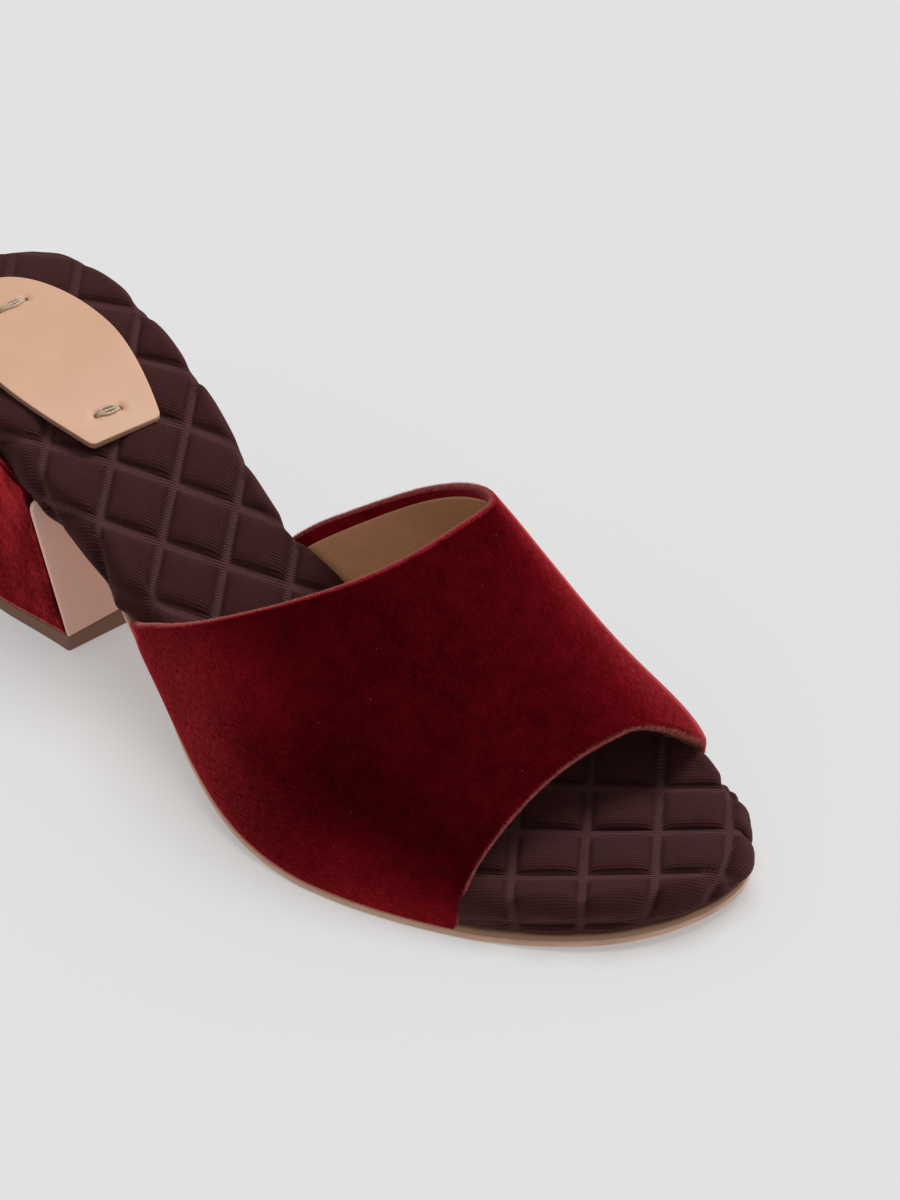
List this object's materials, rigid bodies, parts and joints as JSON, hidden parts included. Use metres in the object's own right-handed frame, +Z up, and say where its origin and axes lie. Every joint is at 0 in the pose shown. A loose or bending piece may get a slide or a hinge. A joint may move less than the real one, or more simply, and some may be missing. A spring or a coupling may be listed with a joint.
{
  "type": "mule",
  "caption": "Open-toe heeled mule for the right foot: velvet vamp over a quilted padded footbed, thin leather outsole and velvet-covered block heel.",
  "frame": {"origin": "middle of the overall box, at floor level under the shoe", "axes": "+Z up, +Y from the toe to the heel (the toe points to -Y), +X to the inner side of the foot"},
  "size_m": [0.0899, 0.2416, 0.0706],
  "materials": {
    "velvet": "dark red velvet with a short cut pile and a strong sheen at grazing angles",
    "knit": "dark brown fine-ribbed knit, matt",
    "nude_leather": "smooth nude leather, satin",
    "sole_leather": "smooth tan sole leather",
    "top_piece_rubber": "brown rubber, matt"
  },
  "bodies": {
    "root": {"upper": "velvet", "footbed": "knit", "outsole": "sole_leather", "heel": "velvet", "heel_breast_cover": "nude_leather", "heel_top_piece": "top_piece_rubber", "heel_seat_patch": "nude_leather"}
  },
  "joints": []
}
